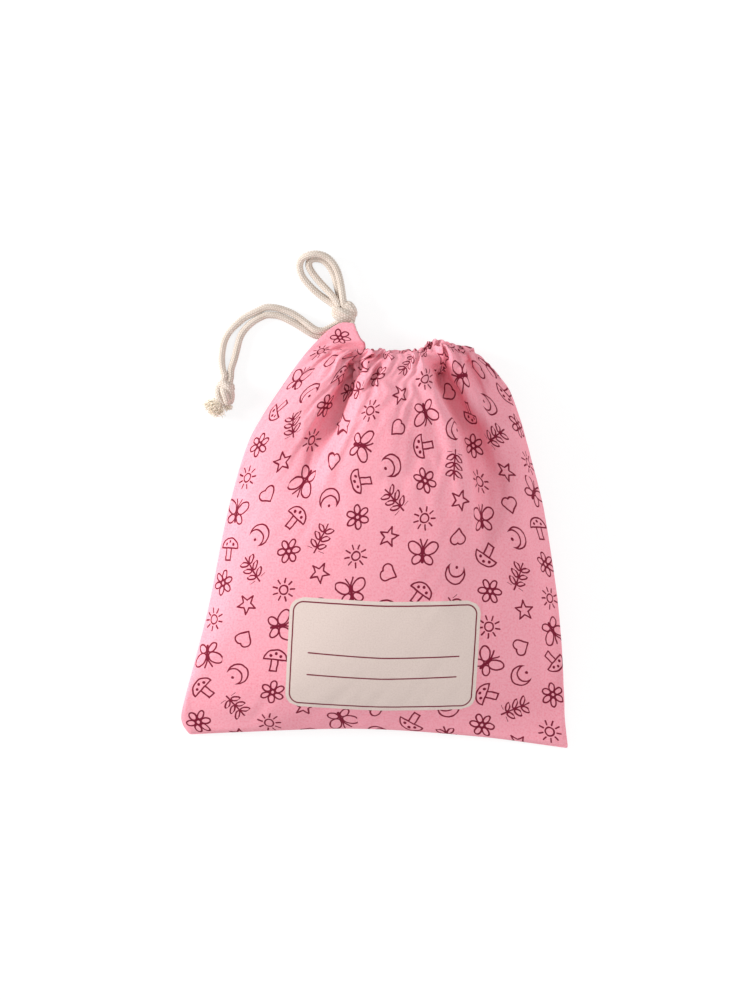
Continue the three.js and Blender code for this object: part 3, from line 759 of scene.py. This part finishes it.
def tuft_object(name, root, direction, count, reach, seed):
    """Unravelled end of the cord: fine yarns that fan out and curl into a round tuft."""
    rng = np.random.default_rng(seed)
    curve = bpy.data.curves.new(name, "CURVE")
    curve.dimensions = "3D"
    curve.bevel_depth = yarn_radius
    curve.bevel_resolution = 1
    curve.use_fill_caps = True
    main = unit(direction)
    level = unit(np.cross(main, (0, 0, 1)))
    rise = np.cross(level, main)
    share = np.linspace(0, 1, 12)[:, None]
    for _ in range(count):
        fan, lift = rng.normal(0, 0.55), rng.normal(0, 0.3)
        far = unit(main + level * fan + rise * lift)
        start = root + (level * rng.normal(0, 0.25) + rise * rng.normal(0, 0.2)) * reach * 0.5
        length = reach * rng.uniform(0.45, 1.0) * (1 - 0.25 * min(abs(fan), 1))
        phase, turns = rng.uniform(0, 2 * np.pi), rng.uniform(4, 9)
        across = unit(np.cross(far, rng.normal(0, 1, 3)))
        other = np.cross(far, across)
        swing = reach * yarn_swing * share**0.7
        curl = across * np.cos(turns * share + phase) + other * np.sin(turns * share + phase)
        places = start + far * length * share + curl * swing
        places[:, 2] = np.maximum(places[:, 2], lowest_yarn)
        spline = curve.splines.new("POLY")
        spline.points.add(len(share) - 1)
        for point, place in zip(spline.points, places):
            point.co = (*place, 1)
            point.radius = rng.uniform(0.7, 1.1)
    return link(bpy.data.objects.new(name, curve))


cords = {}
centrelines = {}
for name, points in routes.items():
    surface = braided_surface(points)
    cords[name] = braided_object(name + "_braid", [surface])
    centrelines[name] = surface[3]
slip_knot = knot_object(
    "slip_knot_braid", slip_knot_centre, slip_knot_strands, slip_knot_core, slip_knot_radius)
end_knot = knot_object("end_knot_braid", end_knot_centre, end_knot_strands, end_knot_core, end_knot_radius)
fray_long = tuft_object(
    "frayed_yarn_1", end_knot_centre + (-0.004, -0.0062, 0.0042), (-0.66, -0.75, -0.05), 300, 0.0112, 4)
fray_short = tuft_object(
    "frayed_yarn_2", end_knot_centre + (0.0012, -0.0074, 0.0034), (0.25, -0.95, -0.1), 60, 0.0055, 9)


class Field:
    """A shader value. Arithmetic on it adds Math nodes to its tree."""

    def __init__(self, tree, source):
        self.tree = tree
        self.source = source

    def math(self, operation, *others):
        node = self.tree.nodes.new("ShaderNodeMath")
        node.operation = operation
        for socket, value in zip(node.inputs, (self, *others)):
            if isinstance(value, Field):
                self.tree.links.new(value.source, socket)
            else:
                socket.default_value = value
        return Field(self.tree, node.outputs[0])

    def __add__(self, other):
        return self.math("ADD", other)

    def __sub__(self, other):
        return self.math("SUBTRACT", other)

    def __rsub__(self, other):
        return self.math("MULTIPLY_ADD", -1, other)

    def __mul__(self, other):
        return self.math("MULTIPLY", other)

    def __truediv__(self, other):
        return self.math("DIVIDE", other)

    def __abs__(self):
        return self.math("ABSOLUTE")


def length(x, y):
    return (x * x + y * y).math("SQRT")


def clamp(value):
    return value.math("MAXIMUM", 0).math("MINIMUM", 1)


def smallest(*fields):
    result = fields[0]
    for field in fields[1:]:
        result = result.math("MINIMUM", field)
    return result


def turned(x, y, cosine, sine):
    return x * cosine + y * sine, y * cosine - x * sine


def oval_edge(x, y, centre, radii, angle=0.0):
    """Signed distance to an ellipse, near enough for a drawn line."""
    x, y = turned(x - centre[0], y - centre[1], math.cos(angle), math.sin(angle))
    k = length(x / radii[0], y / radii[1])
    gradient = length(x / radii[0] ** 2, y / radii[1] ** 2).math("MAXIMUM", 0.02)
    return (k - 1) * k / gradient


def stroke(x, y, start, end):
    """Distance to a straight stroke."""
    dx, dy = end[0] - start[0], end[1] - start[1]
    px, py = x - start[0], y - start[1]
    share = clamp((px * dx + py * dy) / (dx * dx + dy * dy))
    return length(px - share * dx, py - share * dy)


def folded_round(x, y, count):
    """Turn the plane into one of count equal slices, so that what is drawn once shows all round."""
    whole = 2 * math.pi / count
    angle = abs((y.math("ARCTAN2", x) + whole / 2).math("FLOORED_MODULO", whole) - whole / 2)
    r = length(x, y)
    return r * angle.math("COSINE"), r * angle.math("SINE")


# Motifs of the print, drawn in millimetres round their middle. Each gives the distance to its lines
def daisy(x, y):
    petal_x, petal_y = folded_round(x, y, 6)
    petals = abs(oval_edge(petal_x, petal_y, (4.9, 0), (2.9, 1.9)))
    return smallest(petals, abs(length(x, y) - 1.5))


def heart(x, y):
    size = 11.5
    x, y = abs(x) / size, (y + 6) / size
    lobe = abs(length(x - 0.25, y - 0.75) - math.sqrt(2) / 4)
    m = (x + y).math("MAXIMUM", 0) * 0.5
    flank = smallest(length(x, y - 1), length(x - m, y - m))
    above = (x + y).math("GREATER_THAN", 1)
    return (flank + (lobe - flank) * above) * size


def star(x, y):
    x, y = folded_round(x, y, 5)
    inner = 3.3
    turn = math.pi / 5
    return stroke(x, y, (7.8, 0), (inner * math.cos(turn), inner * math.sin(turn)))


def sprig(x, y):
    pair_y = (y + 6.5).math("FLOORED_MODULO", 4.3) - 2.15
    leaves = abs(oval_edge(abs(x), pair_y, (2.7, 0.5), (2.5, 1.15), math.radians(35)))
    leaves = leaves.math("MAXIMUM", abs(y) - 6.4)
    return smallest(leaves, stroke(x, y, (0, -8.4), (0, 7.6)))


def butterfly(x, y):
    side = abs(x)
    upper_wing = abs(oval_edge(side, y, (4.1, 2.3), (3.9, 2.5), math.radians(38)))
    lower_wing = abs(oval_edge(side, y, (2.9, -3.1), (2.7, 1.8), math.radians(-42)))
    body = stroke(x, y, (0, -4.2), (0, 2.6)) - 0.35
    feeler = stroke(side, y, (0.2, 2.8), (1.9, 6.4))
    return smallest(upper_wing, lower_wing, body, feeler)


def mushroom(x, y):
    side = abs(x)
    cap = abs(oval_edge(x, y, (0, 0.2), (6.8, 5.8)).math("MAXIMUM", 0.2 - y))
    stem = abs((side - 1.9).math("MAXIMUM", abs(y + 3.3) - 3.5)).math("MAXIMUM", y - 0.2)
    spots = smallest(length(side - 3.0, y - 2.3), length(side, y - 3.9)) - 0.45
    return smallest(cap, stem, spots)


def moon(x, y):
    crescent = abs((length(x, y) - 6.8).math("MAXIMUM", 5.7 - length(x - 3.2, y - 1.4)))
    return smallest(crescent, length(x - 3.6, y - 1.7) - 0.5)


def sun(x, y):
    ray_x, ray_y = folded_round(x, y, 9)
    return smallest(abs(length(x, y) - 2.9), stroke(ray_x, ray_y, (4.7, 0), (7.5, 0)))


motifs = [daisy, heart, mushroom, star, butterfly, sprig, sun, moon]
motif_sizes = [1.02, 0.8, 1.12, 0.86, 1.34, 1.2, 0.98, 1.02]
motif_cell = 23.0
motif_shift = 2.8
hand_wobble = 1.1
out_of_sight = 50
line_half_width = 0.54
ink_softness = 0.24


def random_cell(tree, column, row):
    """Three fixed random values for each cell of the layout."""
    place = tree.nodes.new("ShaderNodeCombineXYZ")
    tree.links.new(column.source, place.inputs[0])
    tree.links.new(row.source, place.inputs[1])
    noise = tree.nodes.new("ShaderNodeTexWhiteNoise")
    noise.noise_dimensions = "2D"
    tree.links.new(place.outputs[0], noise.inputs["Vector"])
    split = tree.nodes.new("ShaderNodeSeparateColor")
    tree.links.new(noise.outputs["Color"], split.inputs[0])
    return [Field(tree, split.outputs[k]) for k in range(3)]


def set_inputs(node, values):
    for socket, value in values.items():
        node.inputs[socket].default_value = value


def noise_field(tree, vector, scale, detail=2.0, roughness=0.5):
    node = tree.nodes.new("ShaderNodeTexNoise")
    set_inputs(node, {"Scale": scale, "Detail": detail, "Roughness": roughness})
    tree.links.new(vector, node.inputs["Vector"])
    return Field(tree, node.outputs["Fac"])


def printed_ink(tree, across, up, vector):
    """Share of ink of the tossed print at a place on the flat cloth, in millimetres."""
    column = (across / motif_cell).math("FLOOR")
    dropped = up + column.math("FLOORED_MODULO", 2) * (motif_cell / 2)
    row = (dropped / motif_cell).math("FLOOR")
    r, g, b = random_cell(tree, column, row)
    wobble = noise_field(tree, vector, 210, 1.0) - 0.5
    wobble_up = noise_field(tree, vector, 190, 1.0) - 0.5
    x = across - (column + 0.5) * motif_cell + (g - 0.5) * motif_shift + wobble * hand_wobble
    y = dropped - (row + 0.5) * motif_cell + (b - 0.5) * motif_shift + wobble_up * hand_wobble
    turn = r * (2 * math.pi)
    x, y = turned(x, y, turn.math("COSINE"), turn.math("SINE"))
    choice = (column * 3 + row * 2).math("FLOORED_MODULO", len(motifs))
    drawn = [motif(x / size, y / size) * size for motif, size in zip(motifs, motif_sizes)]
    lines = smallest(*[line + abs(choice - k) * out_of_sight for k, line in enumerate(drawn)])
    return clamp((line_half_width - lines) / ink_softness + 0.5)


def rgb(*values):
    """A colour given as it looks on a screen, 0 to 255, as the linear colour of a shader."""
    share = np.array(values, float) / 255
    linear = np.where(share <= 0.04045, share / 12.92, ((share + 0.055) / 1.055) ** 2.4)
    return (*linear, 1.0)


def new_material(name, roughness, sheen, sheen_tint=(1, 1, 1, 1)):
    material = bpy.data.materials.new(name)
    material.use_nodes = True
    shader = material.node_tree.nodes["Principled BSDF"]
    set_inputs(shader, {"Roughness": roughness, "Specular IOR Level": 0.25, "Sheen Weight": sheen,
                        "Sheen Roughness": 0.5, "Sheen Tint": sheen_tint})
    return material, material.node_tree, shader


def blend_colour(tree, factor, first, second):
    """Mix two colours, each a fixed colour or a socket."""
    node = tree.nodes.new("ShaderNodeMix")
    node.data_type = "RGBA"
    tree.links.new(factor.source, node.inputs["Factor"])
    for socket, colour in ((node.inputs["A"], first), (node.inputs["B"], second)):
        if isinstance(colour, bpy.types.NodeSocket):
            tree.links.new(colour, socket)
        else:
            socket.default_value = colour
    return node.outputs["Result"]


def set_surface(tree, shader, colour, height, strength, distance):
    """Give a shader its colour and its bumps."""
    tree.links.new(colour, shader.inputs["Base Color"])
    bump = tree.nodes.new("ShaderNodeBump")
    set_inputs(bump, {"Strength": strength, "Distance": distance})
    tree.links.new(height.source, bump.inputs["Height"])
    tree.links.new(bump.outputs["Normal"], shader.inputs["Normal"])


def cloth_place(tree):
    """Place on the flat cloth: its vector in metres, and across and up in millimetres."""
    place = tree.nodes.new("ShaderNodeUVMap")
    place.uv_map = "flat_cloth"
    split = tree.nodes.new("ShaderNodeSeparateXYZ")
    tree.links.new(place.outputs[0], split.inputs[0])
    return place.outputs[0], Field(tree, split.outputs[0]) * 1000, Field(tree, split.outputs[1]) * 1000


def twill(across, up, pitch):
    """Height of a twill weave, 0 to 1: raised diagonals, broken where the yarns cross."""
    diagonal = abs(((across + up) * (math.pi / pitch)).math("SINE"))
    crossing = abs(((across - up * 0.6) * (math.pi / (pitch * 0.8))).math("SINE"))
    return diagonal * 0.7 + crossing * 0.3


# Colours, and the pitches of the weaves in millimetres
cloth_colour = rgb(250, 173, 187)
# cloth_shade: darker pink used for the cloth's random tone and as painted shade in the low parts of the
# weave
cloth_shade = rgb(244, 139, 156)
ink_colour = rgb(120, 14, 44)
label_colour = rgb(233, 214, 206)
# label_shade: darker tone used for the label's random tone and as painted shade in the low parts of the
# weave
label_shade = rgb(216, 194, 185)
cord_colour = rgb(246, 236, 227)
# Darker cord colour: painted shade in the braid's grooves, also reached by random tone
cord_groove_shade = rgb(186, 164, 144)
fray_colour = rgb(253, 244, 230)
fray_shade = rgb(238, 221, 196)
sheen_colour = rgb(255, 190, 200)
cloth_pitch = 1.05
label_pitch = 0.66
yarn_depth = 0.00022


def printed_cloth():
    material, tree, shader = new_material("printed_cotton", 0.85, 0.1, sheen_colour)
    vector, across, up = cloth_place(tree)
    weave = twill(across, up, cloth_pitch)
    fleck = noise_field(tree, vector, 780)
    patch = noise_field(tree, vector, 22, 3.0)
    ink = printed_ink(tree, across, up, vector)
    worn_ink = clamp(ink * (1.42 - weave * 0.22 - fleck * 0.38))
    # tone paints shade into the low parts of the twill, towards the darker pink, and adds random tone from
    # the fleck and patch noise
    tone = clamp((1 - weave) * 0.62 + (fleck - 0.5) * 2.6 + (patch - 0.5) * 0.5)
    cloth = blend_colour(tree, tone, cloth_colour, cloth_shade)
    colour = blend_colour(tree, worn_ink, cloth, ink_colour)
    set_surface(tree, shader, colour, weave + fleck * 0.6, 0.35, yarn_depth)
    return material


# Border and writing lines of the label, in millimetres from its middle
border_inset = 2.6
border_corner = 6.5
writing_lines = (((-48.0, 0.6), (49.0, 0.2)), ((-48.0, -13.7), (48.0, -13.2)))
label_line_half = 0.44


def label_cloth():
    material, tree, shader = new_material("label_cotton", 0.85, 0.25)
    vector, across, up = cloth_place(tree)
    weave = twill(across, up, label_pitch)
    fleck = noise_field(tree, vector, 1000)
    wobble = (noise_field(tree, vector, 120, 1.0) - 0.5) * 0.5
    half_x, half_y = (side * 500 - border_inset - border_corner for side in label_size)
    edge_x = (abs(across) - half_x).math("MAXIMUM", 0)
    edge_y = (abs(up) - half_y).math("MAXIMUM", 0)
    border = abs(length(edge_x, edge_y) - border_corner + wobble * 0.5)
    writing = smallest(*[stroke(across, up, start, end) for start, end in writing_lines])
    line = smallest(border, writing + wobble * 0.3)
    ink = clamp((label_line_half - line) / 0.2 + 0.5) * (1.25 - fleck * 0.45)
    # tone paints shade into the low parts of the twill, towards the darker label colour, and adds random
    # tone from the fleck noise
    tone = clamp((1 - weave) * 0.5 + (fleck - 0.5) * 1.5)
    cloth = blend_colour(tree, tone, label_colour, label_shade)
    colour = blend_colour(tree, clamp(ink), cloth, ink_colour)
    set_surface(tree, shader, colour, weave + fleck * 0.6, 0.4, yarn_depth)
    return material


def object_vector(tree):
    return tree.nodes.new("ShaderNodeTexCoord").outputs["Object"]


def cotton_cord():
    material, tree, shader = new_material("cotton_braid", 0.9, 0.3)
    vector = object_vector(tree)
    attribute = tree.nodes.new("ShaderNodeAttribute")
    attribute.attribute_name = "groove"
    groove = Field(tree, attribute.outputs["Fac"])
    yarn = noise_field(tree, vector, 2600, 3.0, 0.6)
    patch = noise_field(tree, vector, 140)
    # The grooves between the braid's strands are painted darker, a painted shade; the yarn and patch noise
    # add random tone
    tone = clamp(groove * 0.75 + (yarn - 0.5) * 0.7 + (patch - 0.5) * 0.35)
    set_surface(tree, shader, blend_colour(tree, tone, cord_colour, cord_groove_shade), yarn, 0.5, 0.00025)
    return material


def frayed_cotton():
    material, tree, shader = new_material("frayed_yarn", 0.9, 0.3)
    vector = object_vector(tree)
    tone = clamp((noise_field(tree, vector, 500) - 0.3) * 1.6)
    colour = blend_colour(tree, tone, fray_colour, fray_shade)
    set_surface(tree, shader, colour, noise_field(tree, vector, 3000), 0.3, 0.0001)
    return material


finishes = (
    (printed_cloth(), "printed_cloth", (front_cloth, back_cloth, front_hem_strip, back_hem_strip, *seams)),
    (label_cloth(), "label_twill", (label_patch,)),
    (cotton_cord(), "cotton_cord", (*cords.values(), slip_knot, end_knot)),
    (frayed_cotton(), "frayed_cotton", (fray_long, fray_short)),
)
for material, slot, pieces in finishes:
    for obj in pieces:
        obj.data.materials.append(material)

cloth_thickness = 0.0006
inner_thickness = 0.0005
label_thickness = 0.0003
for obj in (front_cloth, back_cloth):
    thicken(obj, cloth_thickness, 1)
for obj in (front_hem_strip, back_hem_strip, *seams):
    thicken(obj, inner_thickness, 0)
thicken(label_patch, label_thickness, 0)
for obj in (front_cloth, back_cloth, label_patch):
    obj.modifiers.new("Sharp rim", "EDGE_SPLIT").split_angle = math.radians(60)

# The cloth, the label, the front hem with the cord in it and the side seams are baked in place and ride on
# no body. Each other piece rides on the body that carries it. What lies along the back of the mouth and the
# bottom seam stays
for obj in (front_cloth, label_patch, front_hem_strip, cords["cord_front_run"], back_cloth, *seams[:2]):
    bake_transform(obj)
riders = {
    "bag": (back_hem_strip, seams[2], cords["cord_back_run"]),
    "drawstring": (cords["cord_lead_1"], cords["cord_lead_2"], slip_knot),
    "loop": (cords["loop_outer"], cords["loop_inner"]),
    "tail": (cords["tail_upper"], cords["tail_lower"], end_knot, fray_long, fray_short),
}
for body, pieces in riders.items():
    for obj in pieces:
        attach(obj, body)
for name, cord in cords.items():
    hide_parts(name)
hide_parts("front_panel", "cord_outlet")
single_nodes = (
    (back_cloth, "back_panel"), (front_hem_strip, "front_hem"), (back_hem_strip, "back_hem"),
    (seams[0], "left_side_seam"), (seams[1], "right_side_seam"), (seams[2], "bottom_seam"),
    (label_patch, "name_label"), (slip_knot, "slip_knot"), (end_knot, "end_knot"),
    (fray_long, "frayed_end_1"), (fray_short, "frayed_end_2"),
)
for obj, node in single_nodes:
    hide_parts(node)


def declare_cord(name):
    centres = centrelines[name]
    [tuple(c) for c in centres[::4]] + [tuple(centres[-1])]


declare_cord("loop_outer")
declare_cord("loop_inner")
declare_cord("tail_upper")
declare_cord("tail_lower")

# White floor, two lamps and the world
floor_grey = 0.93
floor_glow = 1.12
glow_share = 0.72
fill_light = 0.585


def seen_ray(tree):
    """1 where the camera sees a surface, straight or by gloss or glass, otherwise 0."""
    path = tree.nodes.new("ShaderNodeLightPath")
    camera_ray, glossy_ray, glass_ray = (
        Field(tree, path.outputs["Is " + kind + " Ray"]) for kind in ("Camera", "Glossy", "Transmission"))
    return clamp(camera_ray + glossy_ray + glass_ray)


material, tree, shader = new_material("white_floor", 1.0, 0.0)
shader.inputs["Base Color"].default_value = (floor_grey, floor_grey, floor_grey, 1)
glow = tree.nodes.new("ShaderNodeEmission")
glow.inputs["Strength"].default_value = floor_glow
floor_mix = tree.nodes.new("ShaderNodeMixShader")
tree.links.new((seen_ray(tree) * glow_share).source, floor_mix.inputs[0])
tree.links.new(shader.outputs[0], floor_mix.inputs[1])
tree.links.new(glow.outputs[0], floor_mix.inputs[2])
tree.links.new(floor_mix.outputs[0], tree.nodes["Material Output"].inputs["Surface"])
floor.data.materials.append(material)


def lamp(name, location, energy, size):
    """A square lamp that points at the middle of the bag."""
    data = bpy.data.lights.new(name, "AREA")
    data.energy = energy
    data.size = size
    obj = link(bpy.data.objects.new(name, data))
    obj.location = location
    obj.rotation_euler = (-Vector(location)).to_track_quat("-Z", "Y").to_euler()


lamp("key_lamp", (-1.35, 0.34, 0.48), 20, 0.5)
lamp("right_lamp", (1.1, -0.25, 0.75), 5, 0.8)
world = bpy.data.worlds.new("world")
world.use_nodes = True
tree = world.node_tree
background = tree.nodes["Background"]
background.inputs["Color"].default_value = (1, 1, 1, 1)
seen_world = seen_ray(tree) * (1 - fill_light) + fill_light
tree.links.new(seen_world.source, background.inputs["Strength"])
bpy.context.scene.world = world
bpy.context.scene.view_settings.view_transform = "Standard"
